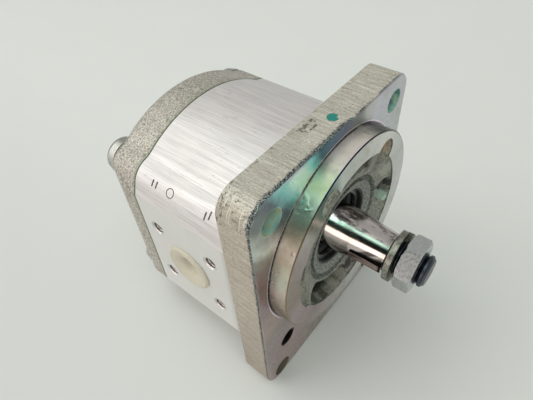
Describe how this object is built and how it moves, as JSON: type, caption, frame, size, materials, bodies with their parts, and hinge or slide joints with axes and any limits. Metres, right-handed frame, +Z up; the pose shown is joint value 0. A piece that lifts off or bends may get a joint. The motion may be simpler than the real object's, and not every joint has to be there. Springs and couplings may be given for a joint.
{
  "type": "hydraulic gear pump",
  "caption": "External gear pump: rectangular mounting flange with round pilot, tapered keyed drive shaft with nut, prismatic body with a plugged port on each side, bolted rear cover.",
  "frame": {"origin": "where the drive shaft's axis crosses the flange's mounting face", "axes": "-Y along the drive shaft out of the pump, +Z up through the two upper flange holes, ports on -X and +X"},
  "size_m": [0.09, 0.1208, 0.1123],
  "materials": {
    "plated_iron": "zinc plated and iridescent, sides left milled and rough",
    "cast_iron": "grainy sand-cast skin, plated",
    "body_aluminium": "extruded and machined, satin",
    "block_aluminium": "machined",
    "bearing_bronze": "sintered, dull",
    "seal_rubber": "smooth nitrile",
    "backup_plastic": "plain",
    "seal_steel": "pressed sheet",
    "spring_steel": "phosphated",
    "bolt_steel": "zinc plated",
    "shaft_steel": "ground and polished",
    "key_steel": "drawn",
    "washer_steel": "phosphated",
    "nut_steel": "zinc plated",
    "plug_plastic": "moulded"
  },
  "bodies": {
    "housing": {"front_cover": "plated_iron", "pump_body": "body_aluminium", "rear_cover": "cast_iron", "front_bearing_block": "block_aluminium", "rear_bearing_block": "block_aluminium", "front_drive_bush": "bearing_bronze", "front_driven_bush": "bearing_bronze", "rear_drive_bush": "bearing_bronze", "rear_driven_bush": "bearing_bronze", "front_pressure_seal": "seal_rubber", "rear_pressure_seal": "seal_rubber", "front_backup_ring": "backup_plastic", "rear_backup_ring": "backup_plastic", "front_body_seal": "seal_rubber", "rear_body_seal": "seal_rubber", "shaft_seal_case": "seal_steel", "shaft_seal_lip": "seal_rubber", "seal_garter_spring": "spring_steel", "seal_retaining_ring": "spring_steel", "through_bolts": "bolt_steel", "bolt_washers": "bolt_steel", "dowel_pins": "shaft_steel"},
    "drive_shaft": {"drive_gear_shaft": "shaft_steel", "woodruff_key": "key_steel", "lock_washer": "washer_steel", "shaft_nut": "nut_steel"},
    "driven_gear": {"driven_gear_shaft": "shaft_steel"},
    "left_plug": {"left_port_plug": "plug_plastic"},
    "right_plug": {"right_port_plug": "plug_plastic"}
  },
  "joints": [
    {"name": "drive_spin", "type": "hinge", "parent": "housing", "child": "drive_shaft", "pos_m": [0, 0, 0], "axis": [0, 1, 0], "continuous": true},
    {"name": "driven_spin", "type": "hinge", "parent": "housing", "child": "driven_gear", "pos_m": [0, 0, -0.03], "axis": [0, 1, 0], "continuous": true},
    {"name": "left_plug_pull", "type": "slide", "parent": "housing", "child": "left_plug", "axis": [-1, 0, 0], "range_m": [0, 0.02]},
    {"name": "right_plug_pull", "type": "slide", "parent": "housing", "child": "right_plug", "axis": [1, 0, 0], "range_m": [0, 0.02]}
  ],
  "couplings": [
    {"joint": "driven_spin", "follows": "drive_spin", "ratio": -1}
  ]
}
